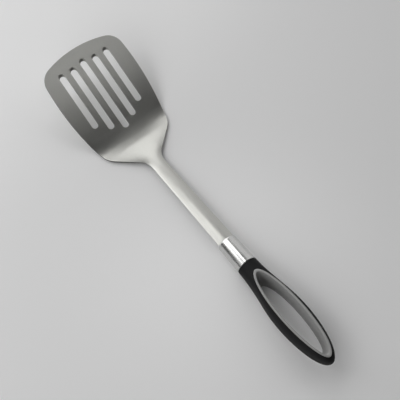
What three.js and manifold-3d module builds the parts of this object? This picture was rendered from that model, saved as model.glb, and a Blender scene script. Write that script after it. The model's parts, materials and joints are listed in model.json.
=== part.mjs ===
// Slotted kitchen turner: a stamped steel blade and neck, a polished ferrule, and a handle made of a
// grey plastic core in a soft black grip that opens into a long hanging loop.
// Millimetres, +Z up. The turner lies on its heel and its ferrule, with the blade towards +X, and the
// origin is under the middle of its bounding box.

import * as THREE from 'three';
import { mergeVertices } from 'three/addons/utils/BufferGeometryUtils.js';
import Module from 'manifold-3d';

// Clearances between pieces
const seatGap = 0.3;
const pinGap = 0.25;

// Sheet steel of the blade, neck and tang
const sheet = 1.4;
const frontEdgeThickness = 0.6;
const grindLength = 9;

// Blade, with stations measured from the heel bend towards the front edge
const bladeLength = 83.9;
const bladeWidth = 77.5;
const widestStation = 48;
const sideRadius = 228;
const frontRadius = 95;
const frontCornerRadius = 14;
const bendAngle = 25.6;
const bendRadius = 28;

// Slots, from the middle one outwards: distance to the front edge, and start after the bend. The front
// wall of each slopes back towards the underside.
const slotWidth = 5.7;
const slotPitch = 11;
const slotSlope = 2.3;
const middleSlot = { frontLand: 10.3, rearStation: 4.7 };
const innerSlot = { frontLand: 12.3, rearStation: 10.3 };
const outerSlot = { frontLand: 12.3, rearStation: 17.9 };

// Shoulders and neck, with stations measured from the bend back towards the handle
const shoulderStation = 6.2;
const shoulderRadius = 18.6;
const neckFilletStation = 40;
const neckFilletRadius = 14;
const neckLength = 128.8;
const neckFrontWidth = 11.7;
const neckRearWidth = 13.8;
const neckCrown = 1.6;
const crownStart = 8;
const crownFull = 46;
const heelCrown = 0.9;
const heelReach = 12.5;

// Tang, from the outer end of the ferrule back into the core
const tangWidth = 9.2;
const tangLength = 30;
const tangRise = 1.2;

// Ferrule
const ferruleLength = 26.2;
const ferruleFrontDiameter = 16.4;
const ferruleRearDiameter = 17.3;
const ferruleWall = 0.8;
const noseLength = 2.8;
const noseFaceDiameter = 13;
const noseWall = 1.4;

// Grip
const gripLength = 99.6;
const gripWidth = 27.2;
const gripDepth = 22.4;
const collarWidth = 17.3;
const collarDepth = 17.3;
const collarEdge = 0.7;
const bellyStation = 55;
const swellStation = 32;
const tipBluntness = 5.5;
const collarSquareness = 2.1;
const loopSquareness = 3;
const squareStation = 22;
const collarReach = 0.52;
const bellyFrontReach = 0.43;
const bellyRearReach = 0.47;
const tipReach = 0.55;

// Loop through the handle, lined by the core. Its opening gets smaller towards the underside, most at its
// two ends, which slope.
const loopStation = 9.4;
const loopLength = 86.7;
const loopWidth = 20.6;
const rimSideWidth = 2;
const rimEndWidth = 2.6;
const rimProud = 0.4;
const rimRound = 0.6;
const loopEndDraft = 6;
const loopSideDraft = 0.3;

// Hidden front of the core and its cross pin
const spigotLength = 20.3;
const coreNeckDiameter = 12;
const pinDiameter = 3;
const pinStation = 11;
const pinInset = 0.6;
const pinChamfer = 0.4;

// Facets
const sheetColumns = 8;
const arcSteps = 5;
const bendSteps = 8;
const crownSteps = 8;
const heelSteps = 12;
const roundSteps = 40;
const loopSteps = 64;
const gripSteps = 14;
const overcut = 5;

const { clamp, degToRad, lerp, smoothstep } = THREE.MathUtils;
const wasm = await Module();
wasm.setup();

// A closed mesh as a solid that can be joined and cut
function solidOf(geometry) {
  const bare = geometry.clone();
  bare.deleteAttribute('normal');
  bare.deleteAttribute('uv');
  const merged = mergeVertices(bare, 1e-4);
  const vertProperties = Float32Array.from(merged.attributes.position.array);
  const triVerts = Uint32Array.from(merged.index.array);
  return new wasm.Manifold(new wasm.Mesh({ numProp: 3, vertProperties, triVerts }));
}

function geometryOf(solid) {
  const mesh = solid.getMesh();
  const geometry = new THREE.BufferGeometry();
  geometry.setAttribute('position', new THREE.BufferAttribute(Float32Array.from(mesh.vertProperties), 3));
  geometry.setIndex(new THREE.BufferAttribute(Uint32Array.from(mesh.triVerts), 1));
  return geometry;
}

// A closed skin over rings of points, each ring counter-clockwise as seen from the end of the loft
function loft(rings) {
  const count = rings[0].length;
  const vertices = rings.flat();
  const index = [];
  for (let ring = 0; ring + 1 < rings.length; ring += 1) {
    for (let i = 0; i < count; i += 1) {
      const a = ring * count + i;
      const b = ring * count + ((i + 1) % count);
      index.push(a, b, b + count, a, b + count, a + count);
    }
  }
  for (const last of [false, true]) {
    const start = last ? (rings.length - 1) * count : 0;
    const middle = new THREE.Vector3();
    const ring = last ? rings.at(-1) : rings[0];
    ring.forEach((point) => middle.addScaledVector(point, 1 / count));
    const centre = vertices.push(middle) - 1;
    for (let i = 0; i < count; i += 1) {
      const a = start + i;
      const b = start + ((i + 1) % count);
      index.push(centre, last ? a : b, last ? b : a);
    }
  }
  const geometry = new THREE.BufferGeometry().setFromPoints(vertices);
  geometry.setIndex(index);
  return geometry;
}

// A solid of revolution about the handle's axis, from pairs of station and radius
function turned(profile) {
  const points = profile.map(([station, radius]) => new THREE.Vector2(radius, station));
  const geometry = new THREE.LatheGeometry(points, roundSteps);
  return geometry.rotateZ(-Math.PI / 2);
}

function steelMaterial(roughness) {
  return new THREE.MeshStandardMaterial({ color: 0xc6c7c4, metalness: 1, roughness });
}

function plasticMaterial(color, roughness) {
  return new THREE.MeshStandardMaterial({ color, metalness: 0, roughness });
}

// Flat blank of the sheet: half widths against stations, which run from the tang to the front edge
const noseStation = -neckLength;
const tangShoulder = noseStation - noseWall - seatGap;
const tangTaper = (neckRearWidth - tangWidth) / 2;
const tangEnd = noseStation - tangLength;

function neckHalfWidth(station) {
  const share = (station - noseStation) / (neckLength - neckFilletStation);
  return lerp(neckRearWidth, neckFrontWidth, share) / 2;
}

// The crossing of two circles that lies to the left of the line from the first centre to the second
function circleCrossing(centreA, radiusA, centreB, radiusB) {
  const span = centreB.clone().sub(centreA);
  const distance = span.length();
  const along = (distance ** 2 + radiusA ** 2 - radiusB ** 2) / (2 * distance);
  const across = Math.sqrt(radiusA ** 2 - along ** 2);
  span.divideScalar(distance);
  const side = new THREE.Vector2(-span.y, span.x);
  return centreA.clone().addScaledVector(span, along).addScaledVector(side, across);
}

function angleFrom(centre, point) {
  return Math.atan2(point.y - centre.y, point.x - centre.x);
}

// Half outline of the blank as arcs that run into each other, drawn from the front edge to the tang
function halfOutline() {
  const front = new THREE.Vector2(bladeLength - frontRadius, 0);
  const side = new THREE.Vector2(widestStation, bladeWidth / 2 - sideRadius);
  const frontReach = frontRadius - frontCornerRadius;
  const sideReach = sideRadius - frontCornerRadius;
  const corner = circleCrossing(front, frontReach, side, sideReach);
  const frontEnd = angleFrom(front, corner);
  const sideStart = angleFrom(side, corner);
  const sideEnd = Math.acos((-shoulderStation - widestStation) / sideRadius);
  const shoulder = new THREE.Vector2(Math.cos(sideEnd), Math.sin(sideEnd));
  shoulder.multiplyScalar(sideRadius - shoulderRadius).add(side);
  const filletHalfWidth = neckHalfWidth(-neckFilletStation);
  const fillet = new THREE.Vector2(-neckFilletStation, filletHalfWidth + neckFilletRadius);
  const lean = Math.acos((shoulderRadius + neckFilletRadius) / shoulder.distanceTo(fillet));
  const slant = angleFrom(shoulder, fillet) - lean;

  const path = new THREE.Path();
  path.absarc(front.x, front.y, frontRadius, 0, frontEnd, false);
  path.absarc(corner.x, corner.y, frontCornerRadius, frontEnd, sideStart, false);
  path.absarc(side.x, side.y, sideRadius, sideStart, sideEnd, false);
  path.absarc(shoulder.x, shoulder.y, shoulderRadius, sideEnd, slant, false);
  path.absarc(fillet.x, fillet.y, neckFilletRadius, slant - Math.PI, -Math.PI / 2, true);
  path.lineTo(tangShoulder, neckHalfWidth(tangShoulder));
  path.lineTo(tangShoulder - tangTaper, tangWidth / 2);
  path.lineTo(tangEnd, tangWidth / 2);
  return path.getPoints(arcSteps).reverse();
}

const blankOutline = halfOutline();

// Half width of an outline, whose points run from the handle's end towards the blade's
function halfWidth(outline, station) {
  const after = outline.findIndex((point) => point.x >= station);
  if (after <= 0) return outline.at(after).y;
  const share = (station - outline[after - 1].x) / (outline[after].x - outline[after - 1].x);
  return lerp(outline[after - 1].y, outline[after].y, share);
}

// Formed sheet: where a point of the blank lies after the bend and the crown are pressed in
const bendSweep = degToRad(bendAngle);
const bendArc = bendRadius * bendSweep;
const bendStart = ferruleLength + neckLength - bendArc / 2;
const tangFlat = tangShoulder - tangTaper;

function crownShare(station) {
  const shoulderRamp = 1 - smoothstep(station, -crownFull, -crownStart);
  const tangRamp = smoothstep(station, tangFlat, tangShoulder + noseWall);
  return shoulderRamp * tangRamp;
}

// A little crown is left in the heel, where it softens the bend along the middle line
function heelShare(station) {
  return Math.max(1 - (station / heelReach) ** 2, 0) ** 2;
}

function formed(station, across, height, halfSpan) {
  const along = station + bendArc / 2;
  const turn = clamp(along / bendRadius, 0, bendSweep);
  const straight = along - turn * bendRadius;
  const crown = neckCrown * crownShare(station) + heelCrown * heelShare(station);
  const lift = height + crown * (1 - (across / halfSpan) ** 2);
  const x = bendStart + bendRadius * Math.sin(turn) + straight * Math.cos(turn);
  const z = tangRise + bendRadius * (1 - Math.cos(turn)) + straight * Math.sin(turn);
  return new THREE.Vector3(x - lift * Math.sin(turn), across, z + lift * Math.cos(turn));
}

// The front edge is ground thin from below
function sheetThickness(station) {
  return lerp(frontEdgeThickness, sheet, clamp((bladeLength - station) / grindLength, 0, 1));
}

// One cross section of the sheet, or of a slot round it when it is grown by a clearance
function sheetSection(station, halfSpan, grown) {
  const upper = sheet / 2 + grown;
  const lower = sheet / 2 - sheetThickness(station) - grown;
  const top = [];
  const bottom = [];
  for (let column = 0; column <= sheetColumns; column += 1) {
    const share = 1 - (2 * column) / sheetColumns;
    const across = share * halfSpan;
    const reach = share * (halfSpan + grown);
    top.push(formed(station, across, upper, halfSpan).setY(reach));
    bottom.unshift(formed(station, across, lower, halfSpan).setY(reach));
  }
  return [...top, ...bottom];
}

// Blade and neck
function sheetStations() {
  const stations = blankOutline.map((point) => point.x);
  for (let step = 0; step <= bendSteps; step += 1) {
    stations.push(lerp(-bendArc / 2, bendArc / 2, step / bendSteps));
  }
  for (let step = 0; step <= heelSteps; step += 1) {
    stations.push(lerp(-heelReach, heelReach, step / heelSteps));
  }
  for (let step = 0; step <= crownSteps; step += 1) {
    stations.push(lerp(-crownFull, -crownStart, step / crownSteps));
  }
  for (let step = 1; step < crownSteps / 2; step += 1) {
    stations.push(lerp(tangFlat, tangShoulder + noseWall, (2 * step) / crownSteps));
  }
  stations.push(tangShoulder + noseWall, bladeLength - grindLength);
  stations.sort((a, b) => a - b);
  const least = 0.2;
  return stations.filter((station, i) => i === 0 || station - stations[i - 1] > least);
}

function slotCutter(place, slot) {
  const radius = slotWidth / 2;
  const rear = slot.rearStation + radius;
  const front = bladeLength - slot.frontLand - radius;
  const rings = [-overcut, overcut].map((height) => {
    const slopedFront = front - slotSlope * (1 / 2 - height / sheet);
    const outline = new THREE.Path();
    outline.absarc(slopedFront, 0, radius, -Math.PI / 2, Math.PI / 2, false);
    outline.absarc(rear, 0, radius, Math.PI / 2, (3 * Math.PI) / 2, false);
    return outline.getPoints(arcSteps).map(({ x, y }) => new THREE.Vector3(x, y, height));
  });
  const cutter = loft(rings);
  cutter.translate(-bendArc / 2, place * slotPitch, 0);
  cutter.rotateY(-bendSweep);
  const sideEdge = bladeWidth / 2;
  const bendEnd = formed(bendArc / 2, sideEdge, 0, sideEdge);
  return solidOf(cutter.translate(bendEnd.x, 0, bendEnd.z));
}

function pinHole(radius) {
  const hole = new THREE.CylinderGeometry(radius, radius, ferruleRearDiameter, roundSteps / 2);
  return solidOf(hole.rotateX(Math.PI / 2).translate(pinStation, 0, 0));
}

function bladeAndNeck() {
  const tip = 0.5;
  const rings = sheetStations().map((station) => {
    const halfSpan = Math.max(halfWidth(blankOutline, station), tip);
    return sheetSection(station, halfSpan, 0);
  });
  let solid = solidOf(loft(rings));
  const slots = [outerSlot, innerSlot, middleSlot, innerSlot, outerSlot];
  slots.forEach((slot, i) => {
    solid = solid.subtract(slotCutter(i - (slots.length - 1) / 2, slot));
  });
  return geometryOf(solid.subtract(pinHole(pinDiameter / 2 + pinGap)));
}

// Ferrule: a cup whose domed nose is pierced for the crowned neck
const ferruleStart = seatGap;
const noseStart = ferruleLength - noseLength;

function ferruleRadius(station) {
  const share = (station - ferruleStart) / (noseStart - ferruleStart);
  return lerp(ferruleRearDiameter, ferruleFrontDiameter, share) / 2;
}

function nose(length, radius, faceRadius, start) {
  const points = [];
  for (let step = 0; step <= arcSteps; step += 1) {
    const angle = (step / arcSteps) * (Math.PI / 2);
    const reach = faceRadius + (radius - faceRadius) * Math.sin(angle);
    points.push([start + length * Math.cos(angle), reach]);
  }
  return points;
}

function ferrule() {
  const frontRadius = ferruleRadius(noseStart);
  const faceRadius = noseFaceDiameter / 2;
  const outer = nose(noseLength, frontRadius, faceRadius, noseStart);
  const innerLength = noseLength - noseWall;
  const inner = nose(innerLength, frontRadius - ferruleWall, faceRadius - ferruleWall, noseStart);
  const rear = ferruleRadius(ferruleStart);
  const sleeve = turned([
    [noseStart + innerLength, 0],
    ...inner,
    [ferruleStart, rear - ferruleWall],
    [ferruleStart, rear],
    ...outer.reverse(),
    [ferruleLength, 0],
  ]);
  const slotRings = [tangFlat, tangShoulder, noseStation, noseStation + overcut].map((station) => {
    return sheetSection(station, neckHalfWidth(station), seatGap);
  });
  return geometryOf(solidOf(sleeve).subtract(solidOf(loft(slotRings))));
}

// Skin of the handle: a collar that swells into a belly and closes in a blunt tip
function gripHalfWidths() {
  const collar = new THREE.Vector2(0, collarWidth / 2);
  const belly = new THREE.Vector2(-bellyStation, gripWidth / 2);
  const tip = new THREE.Vector2(-gripLength, 0);
  const collarHandle = new THREE.Vector2(lerp(collar.x, belly.x, collarReach), collar.y);
  const bellyFrontHandle = new THREE.Vector2(lerp(belly.x, collar.x, bellyFrontReach), belly.y);
  const bellyRearHandle = new THREE.Vector2(lerp(belly.x, tip.x, bellyRearReach), belly.y);
  const tipHandle = new THREE.Vector2(tip.x, tipReach * belly.y);
  const path = new THREE.CurvePath();
  path.add(new THREE.CubicBezierCurve(tip, tipHandle, bellyRearHandle, belly));
  path.add(new THREE.CubicBezierCurve(belly, bellyFrontHandle, collarHandle, collar));
  return path.getPoints(gripSteps);
}

const gripOutline = gripHalfWidths();

function gripHalfDepth(station) {
  const swell = smoothstep(-station, 0, swellStation);
  const rear = clamp((-station - bellyStation) / (gripLength - bellyStation), 0, 1);
  const closing = Math.sqrt(1 - rear ** tipBluntness);
  return (lerp(collarDepth, gripDepth, swell) / 2) * closing;
}

// Sections are round at a squareness of 2 and boxier above it
function gripSquareness(station) {
  return lerp(collarSquareness, loopSquareness, smoothstep(-station, 0, squareStation));
}

function skinHeight(station, across) {
  const squareness = gripSquareness(station);
  const share = Math.min(Math.abs(across) / halfWidth(gripOutline, station), 1);
  return gripHalfDepth(station) * (1 - share ** squareness) ** (1 / squareness);
}

// Core: the liner of the loop, a round neck in the grip's collar and a spigot in the ferrule
const loopMiddle = -(loopStation + loopLength / 2);

// The liner's rim stands a little proud of the grip's skin
function rimHeight(angle) {
  const station = loopMiddle + (loopLength / 2) * Math.cos(angle);
  return skinHeight(station, (loopWidth / 2) * Math.sin(angle)) + rimProud;
}

const below = -1;
const above = 1;

function loopRing(length, width, side, past) {
  const points = [];
  for (let step = 0; step < loopSteps; step += 1) {
    const angle = (2 * Math.PI * step) / loopSteps;
    const x = loopMiddle + (length / 2) * Math.cos(angle);
    points.push(new THREE.Vector3(x, (width / 2) * Math.sin(angle), side * (rimHeight(angle) + past)));
  }
  return points;
}

// Rings are given as a growth of the loop's outline, a side of the handle and a height past its rim
function loopSolid(length, width, levels) {
  const rings = levels.map(([growth, side, past]) => {
    return loopRing(length + 2 * growth, width + 2 * growth, side, past);
  });
  return solidOf(loft(rings));
}

function spigotRadius(station) {
  return ferruleRadius(station) - ferruleWall - seatGap;
}

function handleCore() {
  const liner = loopSolid(loopLength, loopWidth, [
    [-rimRound / 2, below, 0],
    [0, below, -rimRound],
    [0, above, -rimRound],
    [-rimRound / 2, above, 0],
  ]);
  const neckRadius = coreNeckDiameter / 2;
  const neckEnd = -2 * loopStation;
  const stem = solidOf(turned([
    [neckEnd, 0],
    [neckEnd, neckRadius],
    [ferruleStart, neckRadius],
    [ferruleStart, spigotRadius(ferruleStart)],
    [spigotLength, spigotRadius(spigotLength)],
    [spigotLength, 0],
  ]));
  const topLength = loopLength - 2 * rimEndWidth;
  const topWidth = loopWidth - 2 * rimSideWidth;
  const lowLength = topLength - 2 * loopEndDraft;
  const lowWidth = topWidth - 2 * loopSideDraft;
  const opening = solidOf(loft([
    loopRing(lowLength + 2 * rimRound, lowWidth + 2 * rimRound, below, rimRound),
    loopRing(lowLength, lowWidth, below, -rimRound),
    loopRing(topLength, topWidth, above, -rimRound),
    loopRing(topLength + 2 * rimRound, topWidth + 2 * rimRound, above, rimRound / 2),
  ]));
  const socketEnd = ferruleLength - tangLength - seatGap;
  const socketLength = spigotLength + overcut - socketEnd;
  const socket = new THREE.BoxGeometry(socketLength, tangWidth + 2 * seatGap, sheet + 2 * seatGap);
  socket.translate(socketEnd + socketLength / 2, 0, tangRise);
  const whole = liner.add(stem).subtract(opening).subtract(solidOf(socket));
  return geometryOf(whole.subtract(pinHole(pinDiameter / 2 + pinGap)));
}

// Grip: the skin, cut out for the core
function roundedSection(station, halfSpan, halfDepth, squareness) {
  const points = [];
  for (let step = 0; step < roundSteps; step += 1) {
    const angle = (2 * Math.PI * step) / roundSteps;
    const cos = Math.cos(angle);
    const sin = Math.sin(angle);
    const y = halfSpan * Math.sign(cos) * Math.abs(cos) ** (2 / squareness);
    const z = halfDepth * Math.sign(sin) * Math.abs(sin) ** (2 / squareness);
    points.push(new THREE.Vector3(station, y, z));
  }
  return points;
}

function grip() {
  const tip = 0.3;
  const rings = gripOutline.map(({ x, y }) => {
    return roundedSection(x, Math.max(y, tip), Math.max(gripHalfDepth(x), tip), gripSquareness(x));
  });
  const collar = rings.pop();
  const faceShare = 1 - (2 * collarEdge) / collarWidth;
  rings.push(collar.map((point) => point.clone().setX(-collarEdge)));
  rings.push(collar.map((point) => point.clone().multiplyScalar(faceShare)));
  const body = solidOf(loft(rings));
  const loopCut = loopSolid(loopLength, loopWidth, [
    [seatGap, below, overcut],
    [seatGap, above, overcut],
  ]);
  const boreRadius = coreNeckDiameter / 2 + seatGap;
  const boreEnd = -2 * loopStation - seatGap;
  const bore = turned([
    [boreEnd, 0],
    [boreEnd, boreRadius],
    [overcut, boreRadius],
    [overcut, 0],
  ]);
  return geometryOf(body.subtract(loopCut).subtract(solidOf(bore)));
}

// Pin through the spigot and the tang, shorter than the spigot is thick
function tangPin() {
  const radius = pinDiameter / 2;
  const end = spigotRadius(pinStation) - pinInset;
  const points = [
    new THREE.Vector2(0, -end),
    new THREE.Vector2(radius - pinChamfer, -end),
    new THREE.Vector2(radius, -end + pinChamfer),
    new THREE.Vector2(radius, end - pinChamfer),
    new THREE.Vector2(radius - pinChamfer, end),
    new THREE.Vector2(0, end),
  ];
  const geometry = new THREE.LatheGeometry(points, roundSteps / 2);
  return geometry.rotateX(Math.PI / 2).translate(pinStation, 0, 0);
}

// Slope, seen from the side, of the line that the turner lies on: the longest edge of its lower hull
function restingSlope(meshes) {
  const points = meshes.flatMap(({ geometry }) => {
    const { position } = geometry.attributes;
    const { count } = position;
    return Array.from({ length: count }, (_, i) => new THREE.Vector2(position.getX(i), position.getZ(i)));
  });
  points.sort((p, q) => p.x - q.x || p.y - q.y);
  const hull = [];
  for (const point of points) {
    while (hull.length > 1) {
      const edge = hull.at(-1).clone().sub(hull.at(-2));
      if (edge.cross(point.clone().sub(hull.at(-1))) > 0) break;
      hull.pop();
    }
    hull.push(point);
  }
  let longest = new THREE.Vector2();
  for (let i = 1; i < hull.length; i += 1) {
    const edge = hull[i].clone().sub(hull[i - 1]);
    if (edge.length() > longest.length()) longest = edge;
  }
  return longest.angle();
}

function named(name, geometry, material) {
  const mesh = new THREE.Mesh(geometry, material);
  mesh.name = name;
  return mesh;
}

const meshes = [
  named('blade_neck', bladeAndNeck(), steelMaterial(0.3)),
  named('ferrule', ferrule(), steelMaterial(0.12)),
  named('handle_core', handleCore(), plasticMaterial(0x8e9194, 0.45)),
  named('grip', grip(), plasticMaterial(0x1c1c1e, 0.55)),
  named('tang_pin', tangPin(), steelMaterial(0.35)),
];

const turner = new THREE.Group();
turner.add(...meshes);
turner.rotation.y = restingSlope(meshes);
turner.updateMatrixWorld(true);
const box = new THREE.Box3().setFromObject(turner, true);
const middle = box.getCenter(new THREE.Vector3());
turner.position.set(-middle.x, -middle.y, -box.min.z);

export default turner;
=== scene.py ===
# Slotted kitchen turner lying on a pale table: a satin steel blade and neck, a polished ferrule, and a
# soft black grip over a grey core that lines a long hanging loop. Metres, +Z up, blade towards +X.

import json
import math

import bmesh
import bpy
from mathutils import Matrix, Quaternion, Vector
from mathutils.geometry import interpolate_bezier, intersect_sphere_sphere_2d


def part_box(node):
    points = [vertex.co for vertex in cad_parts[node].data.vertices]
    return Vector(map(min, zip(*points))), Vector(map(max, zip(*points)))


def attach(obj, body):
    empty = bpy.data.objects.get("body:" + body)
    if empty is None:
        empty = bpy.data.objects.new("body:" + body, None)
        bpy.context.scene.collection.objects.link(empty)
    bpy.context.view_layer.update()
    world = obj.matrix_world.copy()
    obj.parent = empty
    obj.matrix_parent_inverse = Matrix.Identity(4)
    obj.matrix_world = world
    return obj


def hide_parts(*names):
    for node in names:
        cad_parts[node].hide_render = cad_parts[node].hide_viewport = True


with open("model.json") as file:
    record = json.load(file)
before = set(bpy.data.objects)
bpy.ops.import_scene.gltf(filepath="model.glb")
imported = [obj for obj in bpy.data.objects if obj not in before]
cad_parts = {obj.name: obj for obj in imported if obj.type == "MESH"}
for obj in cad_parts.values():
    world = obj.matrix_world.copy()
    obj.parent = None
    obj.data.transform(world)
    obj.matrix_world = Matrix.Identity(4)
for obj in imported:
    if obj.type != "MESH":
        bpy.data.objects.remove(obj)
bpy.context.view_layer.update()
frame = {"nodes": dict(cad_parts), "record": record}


# How the tool lies: on its heel and the front of its ferrule, so that its straight axis is pitched.
# Each piece is modelled with that axis level along X and its zero at the front of the grip, and is
# then laid in place, from the blade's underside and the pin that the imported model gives.
bend_angle = math.radians(25.6)
pin_station = 0.011

blade_normal = Vector(frame["record"]["mounts"][0]["axis"])
pitch = bend_angle - math.asin(blade_normal.x)
pin_low, pin_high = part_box("tang_pin")
lying = (
    Matrix.Translation((pin_low + pin_high) / 2)
    @ Matrix.Rotation(pitch, 4, "Y")
    @ Matrix.Translation((-pin_station, 0, 0))
)


def only(piece):
    """Makes a piece the only one selected, and the active one"""
    bpy.ops.object.select_all(action="DESELECT")
    piece.select_set(True)
    bpy.context.view_layer.objects.active = piece


def edit(piece):
    """Opens a piece in edit mode with all of it selected"""
    only(piece)
    bpy.ops.object.mode_set(mode="EDIT")
    bpy.ops.mesh.select_all(action="SELECT")


def face_outwards():
    """Turns all faces outwards and leaves edit mode"""
    bpy.ops.mesh.select_all(action="SELECT")
    bpy.ops.mesh.normals_make_consistent(inside=False)
    bpy.ops.object.mode_set(mode="OBJECT")


def pick(piece, test, kind="verts"):
    """In edit mode, selects the vertices, edges or faces that pass a test, and nothing else"""
    bpy.ops.mesh.select_all(action="DESELECT")
    mesh = bmesh.from_edit_mesh(piece.data)
    for element in getattr(mesh, kind):
        if test(element):
            element.select_set(True)
    mesh.select_flush_mode()
    bmesh.update_edit_mesh(piece.data)


def shape(piece, kind, **settings):
    """Adds a modifier, sets it and applies it"""
    modifier = piece.modifiers.new(kind.lower(), kind)
    for name, value in settings.items():
        setattr(modifier, name, value)
    only(piece)
    bpy.ops.object.modifier_apply(modifier=modifier.name)


def lay(piece, finish, node):
    """Lays a finished piece on the table in place of its node, in its finish"""
    piece.matrix_world = lying
    only(piece)
    bpy.ops.object.transform_apply(location=True, rotation=True, scale=True)
    piece.data.materials.clear()
    piece.data.materials.append(finish)
    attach(piece, "root")
    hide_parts(node)


# Blade and neck: one stamping of satin stainless sheet. Its flat blank is cut with the slots, the neck is
# pressed into a crown that fades out in the shoulders, and the blade is folded up at the heel. The edges
# are broken, the front edge is ground thin, and a narrow tang runs on into the handle.
sheet = 0.0014
front_edge = 0.0006
grind_length = 0.009
edge_round = 0.00018
heel_station = 0.155
tang_rise = 0.0012

blade_length = 0.0839
blade_width = 0.0775
widest_station = 0.048
side_radius = 0.228
front_radius = 0.095
corner_radius = 0.014
bend_radius = 0.028

slot_radius = 0.00285
slot_slope = 0.0023
slot_pitch = 0.011
middle_slot = (0.0047, 0.0736)
inner_slot = (0.0103, 0.0716)
outer_slot = (0.0179, 0.0716)

shoulder_station = 0.0062
shoulder_radius = 0.0186
fillet_station = 0.040
fillet_radius = 0.014
neck_length = 0.1288
neck_front_width = 0.0117
neck_rear_width = 0.0138
neck_crown = 0.0016
crown_start = 0.008
crown_full = 0.046
heel_crown = 0.0009
heel_reach = 0.0125

tang_width = 0.0092
tang_length = 0.030
tang_shoulder = 0.0017
pin_clear_radius = 0.00175

arc_step = 0.0012
arc_turn = math.radians(5)
fold_lines = 20
crown_lines = 40
neck_columns = 12
shoulder_columns = 9
micron = 1e-6
sharp_edge = math.radians(50)
smooth_steel = math.radians(25)


def pen_down(name, start):
    """A vertex to draw an outline with, in edit mode: a plane that is merged to its middle"""
    bpy.ops.object.select_all(action="DESELECT")
    bpy.ops.mesh.primitive_plane_add(size=sheet)
    piece = bpy.context.object
    piece.name = name
    edit(piece)
    bpy.ops.mesh.merge(type="CENTER")
    bpy.ops.transform.translate(value=(start.x, start.y, 0))
    return piece


def pen_at(piece):
    mesh = bmesh.from_edit_mesh(piece.data)
    return next(vertex.co.xy for vertex in mesh.verts if vertex.select)


def line_to(piece, x, y):
    step = Vector((x, y)) - pen_at(piece)
    bpy.ops.mesh.extrude_vertices_move(TRANSFORM_OT_translate={"value": (step.x, step.y, 0)})


def arc_round(piece, centre, turn):
    """Draws an arc round a centre, counter-clockwise where the turn is positive"""
    length = abs(turn) * (pen_at(piece) - centre).length
    steps = math.ceil(max(length / arc_step, abs(turn) / arc_turn))
    bpy.ops.mesh.spin(steps=steps, angle=-turn, center=(centre.x, centre.y, 0), axis=(0, 0, 1))


def polar(centre, radius, angle):
    return centre + radius * Vector((math.cos(angle), math.sin(angle)))


def angle_from(centre, point):
    return math.atan2(point.y - centre.y, point.x - centre.x)


def neck_half_width(station):
    share = (station + neck_length) / (neck_length - fillet_station)
    return (neck_rear_width + share * (neck_front_width - neck_rear_width)) / 2


# Half of the flat blank, drawn as arcs that run into each other, from the front edge round to the tang
# and back along the middle line, past the pin hole and half of the middle slot
front = Vector((blade_length - front_radius, 0))
side = Vector((widest_station, blade_width / 2 - side_radius))
crossings = intersect_sphere_sphere_2d(
    front, front_radius - corner_radius, side, side_radius - corner_radius
)
corner = max(crossings, key=lambda point: point.y)
side_end = math.acos((-shoulder_station - widest_station) / side_radius)
shoulder = polar(side, side_radius - shoulder_radius, side_end)
fillet = Vector((-fillet_station, neck_half_width(-fillet_station) + fillet_radius))
lean = math.acos((shoulder_radius + fillet_radius) / (fillet - shoulder).length)
slant = angle_from(shoulder, fillet) - lean
neck_end = -neck_length - tang_shoulder
tang_taper = (neck_rear_width - tang_width) / 2
tang_end = -neck_length - tang_length
pin_place = Vector((pin_station - heel_station, 0))
middle_rear = Vector((middle_slot[0] + slot_radius, 0))
middle_front = Vector((middle_slot[1] - slot_radius, 0))
quarter = math.pi / 2

steel = pen_down("blade_and_neck", Vector((blade_length, 0)))
arc_round(steel, front, angle_from(front, corner))
arc_round(steel, corner, angle_from(side, corner) - angle_from(front, corner))
arc_round(steel, side, side_end - angle_from(side, corner))
arc_round(steel, shoulder, slant - side_end)
fillet_start = polar(fillet, fillet_radius, slant - math.pi)
line_to(steel, fillet_start.x, fillet_start.y)
arc_round(steel, fillet, quarter - slant)
line_to(steel, neck_end, neck_half_width(neck_end))
line_to(steel, neck_end - tang_taper, tang_width / 2)
line_to(steel, tang_end, tang_width / 2)
line_to(steel, tang_end, 0)
line_to(steel, pin_place.x - pin_clear_radius, 0)
arc_round(steel, pin_place, -math.pi)
line_to(steel, middle_slot[0], 0)
arc_round(steel, middle_rear, -quarter)
line_to(steel, middle_front.x, slot_radius)
arc_round(steel, middle_front, -quarter)
line_to(steel, blade_length, 0)
bpy.ops.object.mode_set(mode="OBJECT")
outline = sorted((vertex.co.x, vertex.co.y) for vertex in steel.data.vertices)

for place, (rear, slot_front) in ((1, inner_slot), (2, outer_slot)):
    across = place * slot_pitch
    opening = pen_down("slot", Vector((rear + slot_radius, across - slot_radius)))
    line_to(opening, slot_front - slot_radius, across - slot_radius)
    arc_round(opening, Vector((slot_front - slot_radius, across)), math.pi)
    line_to(opening, rear + slot_radius, across + slot_radius)
    arc_round(opening, Vector((rear + slot_radius, across)), math.pi)
    bpy.ops.object.mode_set(mode="OBJECT")
    only(steel)
    opening.select_set(True)
    bpy.ops.object.join()

edit(steel)
bpy.ops.mesh.remove_doubles(threshold=micron)
bpy.ops.mesh.fill(use_beauty=True)

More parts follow.
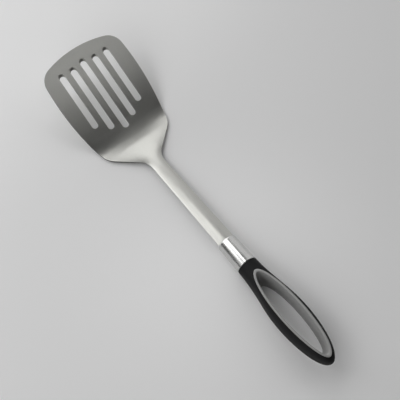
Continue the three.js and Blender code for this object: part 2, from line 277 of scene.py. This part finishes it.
# Lines across the blank, where it is folded, pressed and ground, and lines along its neck
bend_arc = bend_radius * bend_angle
folds = [bend_arc * ((i + 0.5) / fold_lines - 0.5) for i in range(fold_lines)]
presses = [-crown_full + i * (crown_full + heel_reach) / crown_lines for i in range(crown_lines + 1)]
tang_presses = [neck_end - tang_taper + i * tang_taper for i in range(3)]
for station in folds + presses + tang_presses + [blade_length - grind_length]:
    bpy.ops.mesh.select_all(action="SELECT")
    bpy.ops.mesh.bisect(plane_co=(station, 0, 0), plane_no=(1, 0, 0))
columns = [(i + 1) * neck_rear_width / 2 / neck_columns for i in range(neck_columns)]
spread = (blade_width - neck_rear_width) / 2
columns += [neck_rear_width / 2 + spread * (i + 1) / shoulder_columns for i in range(shoulder_columns)]
for across in columns:
    pick(steel, lambda face: face.calc_center_median().x < heel_reach, "faces")
    bpy.ops.mesh.bisect(plane_co=(0, across, 0), plane_no=(0, 1, 0))
bpy.ops.object.mode_set(mode="OBJECT")
shape(steel, "MIRROR", use_axis=(False, True, False), merge_threshold=micron)


# The crown: highest along the middle line, nothing at the edges, faded out in the shoulders and the tang.
# A little of it is left in the heel, where it softens the bend.
def smooth(value, low, high):
    share = min(max((value - low) / (high - low), 0), 1)
    return share * share * (3 - 2 * share)


def half_width(station):
    """Half width of the blank at a station, between the outline's own points"""
    points = [point for point in outline if point[1] > slot_radius]
    after = next((i for i, point in enumerate(points) if point[0] >= station), len(points) - 1)
    (x0, y0), (x1, y1) = points[max(after - 1, 0)], points[after]
    return y0 if x1 - x0 < micron / 1000 else y0 + (y1 - y0) * (station - x0) / (x1 - x0)


for vertex in steel.data.vertices:
    station, across, _ = vertex.co
    crown = 1 - smooth(station, -crown_full, -crown_start)
    crown *= smooth(station, neck_end - tang_taper, neck_end + tang_taper)
    heel = max(0, 1 - (station / heel_reach) ** 2) ** 2
    if crown + heel > 0:
        section = max(0, 1 - (across / half_width(station)) ** 2)
        vertex.co.z = (neck_crown * crown + heel_crown * heel) * section

# The thickness of the sheet, the front edge ground thin from below, and the sloped front wall of each slot
edit(steel)
face_outwards()
shape(steel, "SOLIDIFY", thickness=sheet, offset=0, use_even_offset=True)
slot_fronts = [Vector((middle_front.x, 0))]
for place, (_, slot_front) in ((1, inner_slot), (2, outer_slot)):
    slot_fronts += [Vector((slot_front - slot_radius, hand * place * slot_pitch)) for hand in (1, -1)]
for vertex in steel.data.vertices:
    if vertex.co.x > 0 and vertex.co.z < 0:
        ground = max(vertex.co.x - blade_length + grind_length, 0) / grind_length
        vertex.co.z += ground * (sheet - front_edge)
        for centre in slot_fronts:
            arm = vertex.co.xy - centre
            if arm.x > -micron and arm.length < slot_radius + 10 * micron:
                vertex.co.x -= slot_slope

# The heel: everything ahead of each fold line is turned up by one step, from the front line back
edit(steel)
for station in reversed(folds):
    pick(steel, lambda vertex: vertex.co.x > station + micron)
    bpy.ops.transform.rotate(
        value=bend_angle / fold_lines, orient_axis="Y", center_override=(station, 0, 0)
    )
bpy.ops.mesh.select_all(action="SELECT")
bpy.ops.transform.translate(value=(heel_station, 0, tang_rise))
bpy.ops.object.mode_set(mode="OBJECT")
shape(steel, "BEVEL", width=edge_round, segments=2, limit_method="ANGLE", angle_limit=sharp_edge)
only(steel)
bpy.ops.object.shade_smooth_by_angle(angle=smooth_steel)
shape(steel, "WEIGHTED_NORMAL", weight=100, keep_sharp=True)

# The side walls round the outline, which the press sheared, are marked for painted shade: the finish
# darkens them to stand in for the shadow
#  and dark reflection along the sheet's edges. The slots' walls keep the satin tone of the faces.
painted_shade_slope = 0.6
slots_end = heel_station + middle_slot[1] * math.cos(bend_angle) + slot_radius
slots_side = 2 * (slot_pitch + slot_radius)


def takes_painted_edge_shade(face):
    in_slots = heel_station < face.center.x < slots_end and abs(face.center.y) < slots_side
    return abs(face.normal.z) < painted_shade_slope and not in_slots


edge_shade_marks = steel.data.attributes.new("painted_edge_shade", "FLOAT", "FACE")
for face in steel.data.polygons:
    edge_shade_marks.data[face.index].value = float(takes_painted_edge_shade(face))


# Satin steel: a fine brushed grain along the tool and faint cloudy patches left by polishing
class Signal:
    """A shader socket that takes part in sums, and adds any other node to its tree"""

    def __init__(self, tree, socket=None):
        self.tree = tree
        self.socket = socket

    def add(self, kind, settings, inputs, output=0):
        node = self.tree.nodes.new(kind)
        for name, value in settings.items():
            setattr(node, name, value)
        for name, value in inputs.items():
            if isinstance(value, Signal):
                self.tree.links.new(value.socket, node.inputs[name])
            else:
                node.inputs[name].default_value = value
        return Signal(self.tree, node.outputs[output])

    def math(self, operation, first, second):
        return self.add("ShaderNodeMath", {"operation": operation}, {0: first, 1: second})

    def __add__(self, other):
        return self.math("ADD", self, other)

    def __radd__(self, other):
        return self.math("ADD", other, self)

    def __mul__(self, other):
        return self.math("MULTIPLY", self, other)

    def __rmul__(self, other):
        return self.math("MULTIPLY", other, self)


def new_finish(name):
    """An empty material, and a signal with its tree"""
    finish = bpy.data.materials.new(name)
    finish.use_nodes = True
    finish.node_tree.nodes.clear()
    return finish, Signal(finish.node_tree)


def along_tool(tree, stretch):
    """Object coordinates turned level with the tool's axis and scaled by a stretch"""
    place = tree.add("ShaderNodeTexCoord", {}, {}, "Object")
    level = (0, -pitch, 0)
    return tree.add("ShaderNodeMapping", {}, {"Vector": place, "Rotation": level, "Scale": stretch})


def noise(tree, place, detail):
    return tree.add("ShaderNodeTexNoise", {}, {"Vector": place, "Scale": 1, "Detail": detail}, "Fac")


def relief(tree, height, strength, distance):
    inputs = {"Height": height, "Strength": strength, "Distance": distance}
    return tree.add("ShaderNodeBump", {}, inputs)


def blend(tree, share, first, second):
    """A mix of two colours, each three numbers or a signal"""
    first, second = (tone if isinstance(tone, Signal) else (*tone, 1) for tone in (first, second))
    return tree.add("ShaderNodeMix", {"data_type": "RGBA"}, {0: share, 6: first, 7: second}, 2)


def finish_tree(tree, kind, shader):
    tree.tree.links.new(shader.socket, tree.tree.nodes.new(kind).inputs["Surface"])


def coat(tree, **inputs):
    """The surface shader, joined to the material's output"""
    finish_tree(tree, "ShaderNodeOutputMaterial", tree.add("ShaderNodeBsdfPrincipled", {}, inputs))


satin_dark = (0.46, 0.46, 0.437)
satin_light = (0.56, 0.56, 0.532)
# Painted shade: the dark tone that the marked side walls of the sheet take
painted_edge_shade_dark = (0.09, 0.09, 0.085)
satin_roughness = 0.26
grain_stretch = (60, 7000, 7000)
cloud_stretch = (38, 90, 90)
satin_steel, tree = new_finish("satin_steel")
grain = noise(tree, along_tool(tree, grain_stretch), detail=1)
clouds = noise(tree, along_tool(tree, cloud_stretch), detail=2)
brushed = blend(tree, 0.6 * grain + 0.4 * clouds, satin_dark, satin_light)
# Painted shade: the marked side walls are blended to a dark tone, standing in for their shadow and dark
# reflection
painted_edge_shade = tree.add("ShaderNodeAttribute", {"attribute_name": "painted_edge_shade"}, {}, "Fac")
coat(
    tree,
    **{
        "Base Color": blend(tree, painted_edge_shade, brushed, painted_edge_shade_dark),
        "Metallic": 1.0,
        "Roughness": satin_roughness + 0.04 * grain + 0.03 * clouds,
        "Normal": relief(tree, grain, strength=0.8, distance=0.00006),
    },
)
neck_slot = steel.copy()
neck_slot.data = steel.data.copy()
bpy.context.scene.collection.objects.link(neck_slot)
lay(steel, satin_steel, "blade_neck")


# Ferrule: a drawn and polished steel sleeve that tapers a little towards its rounded nose. The nose is
# pierced for the neck, and the open rear end sits against the grip's collar.
ferrule_rear = 0.0002
ferrule_length = 0.0262
ferrule_front_radius = 0.0082
ferrule_rear_radius = 0.00865
ferrule_wall = 0.0008
nose_radius = 0.0019
nose_wall = 0.0014
lip_radius = 0.0003
ferrule_facets = 128
smooth_ferrule = math.radians(30)
slot_clearance = 0.00012


def revolve(facets):
    """In edit mode, spins the drawn profile round the tool's axis into a closed solid"""
    bpy.ops.mesh.select_all(action="SELECT")
    bpy.ops.mesh.spin(steps=facets, angle=2 * math.pi, center=(0, 0, 0), axis=(1, 0, 0))
    bpy.ops.mesh.select_all(action="SELECT")
    bpy.ops.mesh.remove_doubles(threshold=2 * micron)
    face_outwards()


def cut_out(piece, *cutters):
    """Cuts other shapes out of a piece and removes them"""
    for cutter in cutters:
        shape(piece, "BOOLEAN", operation="DIFFERENCE", object=cutter, solver="EXACT")
        bpy.data.objects.remove(cutter)


sleeve = pen_down("polished_ferrule", Vector((ferrule_length - nose_wall, 0)))
line_to(sleeve, ferrule_length - nose_wall, ferrule_front_radius - nose_radius)
line_to(sleeve, ferrule_length - nose_radius, ferrule_front_radius - ferrule_wall)
line_to(sleeve, ferrule_rear, ferrule_rear_radius - ferrule_wall)
line_to(sleeve, ferrule_rear, ferrule_rear_radius - lip_radius)
arc_round(sleeve, Vector((ferrule_rear + lip_radius, ferrule_rear_radius - lip_radius)), -quarter)
line_to(sleeve, ferrule_length - nose_radius, ferrule_front_radius)
nose_centre = Vector((ferrule_length - nose_radius, ferrule_front_radius - nose_radius))
arc_round(sleeve, nose_centre, -quarter)
line_to(sleeve, ferrule_length, 0)
revolve(ferrule_facets)
shape(neck_slot, "DISPLACE", strength=slot_clearance, mid_level=0)
cut_out(sleeve, neck_slot)
only(sleeve)
bpy.ops.object.shade_smooth_by_angle(angle=smooth_ferrule)

polish_dark = (0.58, 0.58, 0.57)
polish_light = (0.70, 0.70, 0.69)
polish_roughness = 0.21
haze_stretch = (220, 220, 220)
line_stretch = (5200, 90, 90)
polished_steel, tree = new_finish("polished_steel")
haze = noise(tree, along_tool(tree, haze_stretch), detail=3)
lines = noise(tree, along_tool(tree, line_stretch), detail=2)
coat(
    tree,
    **{
        "Base Color": blend(tree, haze, polish_dark, polish_light),
        "Metallic": 1.0,
        "Roughness": polish_roughness + 0.03 * haze + 0.02 * lines,
        "Normal": relief(tree, lines, strength=0.008, distance=0.00002),
    },
)
lay(sleeve, polished_steel, "ferrule")


# Tang pin: a plain turned steel pin through the core's spigot and the tang, hidden by the ferrule. The
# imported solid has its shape, so it only gets the finish of turned steel.
pin_dark = (0.40, 0.40, 0.39)
pin_light = (0.56, 0.56, 0.55)
pin_roughness = 0.30
mark_stretch = (300, 300, 9000)
turned_steel, tree = new_finish("turned_steel")
tool_marks = noise(tree, along_tool(tree, mark_stretch), detail=2)
coat(
    tree,
    **{
        "Base Color": blend(tree, tool_marks, pin_dark, pin_light),
        "Metallic": 1.0,
        "Roughness": pin_roughness + 0.15 * tool_marks,
    },
)
pin_mesh = frame["nodes"]["tang_pin"].data
pin_mesh.materials.clear()
pin_mesh.materials.append(turned_steel)


# Handle form: the outer skin that the core's rims and the grip share. Rings are pulled out along the axis
# from the tip over the belly to the collar, round at the collar and squarer round the loop.
grip_length = 0.0996
grip_half_width = 0.0136
grip_half_depth = 0.0112
collar_half_width = 0.00865
collar_half_depth = 0.00865
collar_edge = 0.0007
belly_station = 0.055
swell_station = 0.032
square_station = 0.022
collar_squareness = 2.1
loop_squareness = 3.0
tip_bluntness = 5.5
collar_reach = 0.52
belly_front_reach = 0.43
belly_rear_reach = 0.47
tip_reach = 0.55
rings_per_curve = 17
cage_points = 8
form_levels = 3


def half_depth(station):
    swell = smooth(-station, 0, swell_station)
    rear = min(max((-station - belly_station) / (grip_length - belly_station), 0), 1)
    depth = collar_half_depth + (grip_half_depth - collar_half_depth) * swell
    return depth * math.sqrt(1 - rear**tip_bluntness)


def ring_corner(station):
    """Share of the ring's reach at its corners, so that its smooth surface has the section's squareness"""
    squaring = smooth(-station, 0, square_station)
    squareness = collar_squareness + (loop_squareness - collar_squareness) * squaring
    share = 2 ** (-1 / squareness)
    return (4 * share - 1) / (4 - 2 * share)


def ring(station, width, depth):
    """A ring of the cage: its place, its reach sideways and upwards, and its corners' share of an oval's"""
    corner_share = ring_corner(station)
    reach = 3 / (2 + corner_share)
    return station, width * reach, depth * reach, corner_share * math.sqrt(2)


def at_station(vertex, station):
    return abs(vertex.co.x - station) < micron


def is_corner(vertex):
    """Whether a point of a ring lies off both of its axes"""
    return min(abs(vertex.co.y), abs(vertex.co.z)) > 10 * micron


def flat(x, y):
    return Vector((x, y, 0))


tip = flat(-grip_length, 0)
belly = flat(-belly_station, grip_half_width)
collar = flat(0, collar_half_width)
tip_handle = flat(-grip_length, tip_reach * grip_half_width)
belly_rear_handle = belly.lerp(flat(-grip_length, grip_half_width), belly_rear_reach)
belly_front_handle = belly.lerp(flat(0, grip_half_width), belly_front_reach)
collar_handle = collar.lerp(flat(-belly_station, collar_half_width), collar_reach)
rear_curve = interpolate_bezier(tip, tip_handle, belly_rear_handle, belly, rings_per_curve)
front_curve = interpolate_bezier(belly, belly_front_handle, collar_handle, collar, rings_per_curve)
rings = [ring(point.x, point.y, half_depth(point.x)) for point in rear_curve[1:] + front_curve[1:-1]]
rings += [ring(-x, collar_half_width, collar_half_depth) for x in (2 * collar_edge, collar_edge / 4)]
face_share = 1 - collar_edge / 2 / collar_half_width
rings += [ring(0, face_share * collar_half_width, face_share * collar_half_depth)]

bpy.ops.object.select_all(action="DESELECT")
bpy.ops.mesh.primitive_circle_add(
    vertices=cage_points, radius=1, location=(rings[0][0], 0, 0), rotation=(0, quarter, 0)
)
form = bpy.context.object
form.name = "handle_form"
bpy.ops.object.transform_apply(location=True, rotation=True, scale=True)
edit(form)
last = (rings[0][0], 1, 1, 1)
for x, width, depth, corner_share in rings:
    if x != last[0]:
        bpy.ops.mesh.extrude_edges_move(TRANSFORM_OT_translate={"value": (x - last[0], 0, 0)})
    bpy.ops.transform.resize(value=(1, width / last[1], depth / last[2]))
    pick(form, lambda vertex: at_station(vertex, x) and is_corner(vertex))
    ratio = corner_share / last[3]
    bpy.ops.transform.resize(value=(1, ratio, ratio))
    pick(form, lambda vertex: at_station(vertex, x))
    last = (x, width, depth, corner_share)
bpy.ops.mesh.edge_face_add()
pick(form, lambda vertex: at_station(vertex, rings[0][0]))
bpy.ops.mesh.extrude_edges_move(TRANSFORM_OT_translate={"value": (-grip_length - rings[0][0], 0, 0)})
bpy.ops.mesh.merge(type="CENTER")
face_outwards()
shape(form, "SUBSURF", levels=form_levels, render_levels=form_levels)


# Core: a rigid grey plastic moulding. Its liner goes round the loop and shows as a narrow rim, level
# across and following the grip's skin. A round stem joins it to the spigot, which fills the ferrule and
# holds the tang.
loop_station = 0.0094
loop_length = 0.0867
loop_width = 0.0206
rim_side = 0.0020
rim_end = 0.0026
rim_proud = 0.00035
rim_round = 0.00055
loop_end_draft = 0.006
loop_side_draft = 0.0003
loop_facets = 192
opening_limit = 0.92
level_gap = 100 * micron
spigot_length = 0.0203
stem_radius = 0.006
stem_facets = 64
smooth_handle = math.radians(35)
seat_gap = 0.0003
socket_gap = 0.0002

loop_middle = -(loop_station + loop_length / 2)


def loop_ring(name, growth):
    """An oval the size of the loop's outline, grown by a clearance"""
    bpy.ops.object.select_all(action="DESELECT")
    bpy.ops.mesh.primitive_circle_add(vertices=loop_facets, radius=1, location=(loop_middle, 0, 0))
    piece = bpy.context.object
    piece.name = name
    piece.scale = (loop_length / 2 + growth, loop_width / 2 + growth, 1)
    bpy.ops.object.transform_apply(location=True, rotation=True, scale=True)
    return piece


liner = loop_ring("grey_core_and_liner", 0)
above = 3 * grip_half_depth
edit(liner)
bpy.ops.transform.translate(value=(0, 0, above))
bpy.ops.object.mode_set(mode="OBJECT")
shape(
    liner,
    "SHRINKWRAP",
    target=form,
    wrap_method="PROJECT",
    use_project_z=True,
    use_positive_direction=False,
    use_negative_direction=True,
)
middle = (loop_middle, 0, 0)
edit(liner)
bpy.ops.transform.translate(value=(0, 0, rim_proud))
bpy.ops.mesh.extrude_edges_move()
bpy.ops.transform.resize(value=(1, 1, 0), center_override=middle)
pick(liner, lambda vertex: vertex.co.z > level_gap)
bpy.ops.mesh.extrude_edges_move()
inner = (1 - 2 * rim_end / loop_length, 1 - 2 * rim_side / loop_width, 1)
bpy.ops.transform.resize(value=inner, center_override=middle)
bpy.ops.mesh.extrude_edges_move()
bpy.ops.transform.resize(value=(1, 1, 0), center_override=middle)
bpy.ops.object.mode_set(mode="OBJECT")
shape(liner, "MIRROR", use_axis=(False, False, True), merge_threshold=micron)


# The opening gets smaller towards the underside, most at its two ends, which slope
def in_opening(vertex):
    along = 2 * (vertex.co.x - loop_middle) / loop_length
    across = 2 * vertex.co.y / loop_width
    return along**2 + across**2 < opening_limit


edit(liner)
end_share = 2 * loop_end_draft / (loop_length - 2 * rim_end)
side_share = 2 * loop_side_draft / (loop_width - 2 * rim_side)
for depth, lowest, highest in ((1, -above, -level_gap), (0.5, -level_gap, level_gap)):
    pick(liner, lambda vertex: in_opening(vertex) and lowest < vertex.co.z < highest)
    narrower = (1 - depth * end_share, 1 - depth * side_share, 1)
    bpy.ops.transform.resize(value=narrower, center_override=middle)
face_outwards()
shape(liner, "BEVEL", width=rim_round, segments=4, limit_method="ANGLE", angle_limit=sharp_edge)

stem_end = -loop_station - rim_end / 2
spigot_radius = ferrule_front_radius - ferrule_wall - seat_gap
stem = pen_down("stem", Vector((stem_end, 0)))
line_to(stem, stem_end, stem_radius)
line_to(stem, seat_gap, stem_radius)
line_to(stem, seat_gap, spigot_radius)
line_to(stem, spigot_length, spigot_radius)
line_to(stem, spigot_length, 0)
revolve(stem_facets)

bpy.ops.object.select_all(action="DESELECT")
socket_rear = ferrule_length - tang_length - seat_gap
bpy.ops.mesh.primitive_cube_add(size=1, location=((socket_rear + ferrule_length) / 2, 0, tang_rise))
socket = bpy.context.object
socket.scale = (ferrule_length - socket_rear, tang_width + 2 * socket_gap, sheet + 2 * socket_gap)
bpy.ops.object.transform_apply(location=True, rotation=True, scale=True)
bpy.ops.object.select_all(action="DESELECT")
bpy.ops.mesh.primitive_cylinder_add(
    radius=pin_clear_radius, depth=4 * spigot_radius, location=(pin_station, 0, 0)
)
pin_hole = bpy.context.object
bpy.ops.object.transform_apply(location=True, rotation=True, scale=True)
cut_out(stem, socket, pin_hole)
shape(liner, "BOOLEAN", operation="UNION", object=stem, solver="EXACT")
bpy.data.objects.remove(stem)
only(liner)
bpy.ops.object.shade_smooth_by_angle(angle=smooth_handle)

core_dark = (0.30, 0.30, 0.295)
core_light = (0.36, 0.36, 0.355)
core_roughness = 0.42
mottle_stretch = (420, 420, 420)
pore_stretch = (6500, 6500, 6500)
grey_core, tree = new_finish("grey_core")
mottle = noise(tree, along_tool(tree, mottle_stretch), detail=3)
pores = noise(tree, along_tool(tree, pore_stretch), detail=2)
coat(
    tree,
    **{
        "Base Color": blend(tree, 0.7 * mottle + 0.3 * pores, core_dark, core_light),
        "Roughness": core_roughness + 0.12 * pores,
        "Normal": relief(tree, pores, strength=0.12, distance=0.00004),
    },
)
lay(liner, grey_core, "handle_core")


# Grip: a soft black overmould on the core, satin to the touch. It is the handle's form with the loop cut
# through it and a bore for the core's stem.
bond_gap = 0.00004

loop_cut = loop_ring("loop_cut", bond_gap)
edit(loop_cut)
bpy.ops.transform.translate(value=(0, 0, -above))
bpy.ops.mesh.edge_face_add()
bpy.ops.mesh.extrude_region_move(TRANSFORM_OT_translate={"value": (0, 0, 2 * above)})
face_outwards()
bpy.ops.object.select_all(action="DESELECT")
bpy.ops.mesh.primitive_cylinder_add(
    vertices=stem_facets, radius=stem_radius + bond_gap, depth=4 * loop_station, rotation=(0, quarter, 0)
)
bore = bpy.context.object
bpy.ops.object.transform_apply(location=True, rotation=True, scale=True)
form.name = "black_grip"
cut_out(form, loop_cut, bore)
only(form)
bpy.ops.object.shade_smooth_by_angle(angle=smooth_handle)

black_deep = (0.007, 0.007, 0.0075)
black_worn = (0.012, 0.012, 0.0125)
grip_roughness = 0.50
hand_stretch = (70, 150, 150)
skin_stretch = (3600, 3600, 3600)
black_grip, tree = new_finish("black_grip")
hand_marks = noise(tree, along_tool(tree, hand_stretch), detail=3)
skin_grain = noise(tree, along_tool(tree, skin_stretch), detail=2)
coat(
    tree,
    **{
        "Base Color": blend(tree, 0.6 * hand_marks + 0.4 * skin_grain, black_deep, black_worn),
        "Roughness": grip_roughness + 0.12 * hand_marks + 0.06 * skin_grain,
        "Specular IOR Level": 0.15,
        "Normal": relief(tree, skin_grain, strength=0.15, distance=0.00005),
    },
)
lay(form, black_grip, "grip")


# Table: a plain pale matt surface, not part of the object, with the slightest unevenness of tone.
table_size = 8
bpy.ops.object.select_all(action="DESELECT")
bpy.ops.mesh.primitive_plane_add(size=table_size)
table = bpy.context.object
table.name = "table"
table_dark = (0.88, 0.88, 0.88)
table_light = (0.92, 0.92, 0.92)
table_roughness = 0.8
pale_table, tree = new_finish("pale_table")
tone = noise(tree, tree.add("ShaderNodeTexCoord", {}, {}, "Object"), detail=2)
coat(tree, **{"Base Color": blend(tree, tone, table_dark, table_light), "Roughness": table_roughness})
table.data.materials.append(pale_table)


# Studio: a large softbox ahead of the blade, a low strip under it, and two lamps on the tool's left. Two
# small gridded panels hang over the blade and the neck. One wall of the dim room is lit. The camera looks
# down along the tool from its handle end.
view_target = Vector((0.0032, -0.0079, 0))
view_azimuth = math.radians(142.4)
view_elevation = math.radians(65.24)
view_distance = 0.7483
view_lens = 83.27
room_dim = 0.05
room_wall = 0.85
wall_side = Vector((0.45, -0.9, 0))
wall_start = 0.35
wall_full = 0.7


def lamp(name, place, size, power, facing=None, spread=math.pi, roll=0):
    """A rectangular lamp that the camera doesn't see, facing the tool's middle if nothing else is given"""
    facing = -Vector(place) if facing is None else Vector(facing)
    turn = (facing.to_track_quat("-Z", "Y") @ Quaternion((0, 0, 1), roll)).to_euler()
    bpy.ops.object.light_add(type="AREA", location=place, rotation=turn)
    light = bpy.context.object
    light.name = name
    light.data.shape = "RECTANGLE"
    light.data.size, light.data.size_y = size
    light.data.energy = power
    light.data.spread = spread
    light.visible_camera = False


lamp("softbox", place=(0.86, 0.15, 0.87), size=(1.75, 0.72), power=6.0, roll=math.radians(6))
lamp(
    "blade_panel",
    place=(0.140, -0.062, 0.33),
    size=(0.34, 0.2),
    power=0.0097,
    facing=(0.28, 0.19, -0.95),
    spread=math.radians(25),
    roll=math.radians(-33),
)
lamp(
    "neck_panel",
    place=(0.080, 0.028, 0.3),
    size=(0.14, 0.11),
    power=0.0076,
    facing=(-0.43, -0.03, -0.87),
    spread=math.radians(42),
)
lamp("front_strip", place=(1.12, 0.30, 0.32), size=(1.2, 0.35), power=3.6)
lamp("fill", place=(-0.4, 1.2, 0.85), size=(1.9, 1.1), power=7.8)
lamp("side", place=(0.55, 0.75, 1.0), size=(0.6, 0.6), power=0.9)

world = bpy.data.worlds.new("dim_room")
world.use_nodes = True
world.node_tree.nodes.clear()
tree = Signal(world.node_tree)
outward = tree.add("ShaderNodeTexCoord", {}, {}, "Generated")
towards_wall = tree.add(
    "ShaderNodeVectorMath", {"operation": "DOT_PRODUCT"}, {0: outward, 1: wall_side}, "Value"
)
glow = tree.add(
    "ShaderNodeMapRange",
    {"interpolation_type": "SMOOTHSTEP"},
    {
        "Value": towards_wall,
        "From Min": wall_start,
        "From Max": wall_full,
        "To Min": room_dim,
        "To Max": room_wall,
    },
)
finish_tree(tree, "ShaderNodeOutputWorld", tree.add("ShaderNodeBackground", {}, {"Strength": glow}))
bpy.context.scene.world = world

view_side = Vector(
    (
        math.cos(view_elevation) * math.cos(view_azimuth),
        math.cos(view_elevation) * math.sin(view_azimuth),
        math.sin(view_elevation),
    )
)
bpy.ops.object.camera_add(
    location=view_target + view_distance * view_side,
    rotation=(-view_side).to_track_quat("-Z", "Y").to_euler(),
)
camera = bpy.context.object
camera.data.lens = view_lens
bpy.context.scene.camera = camera
bpy.context.scene.view_settings.view_transform = "Standard"
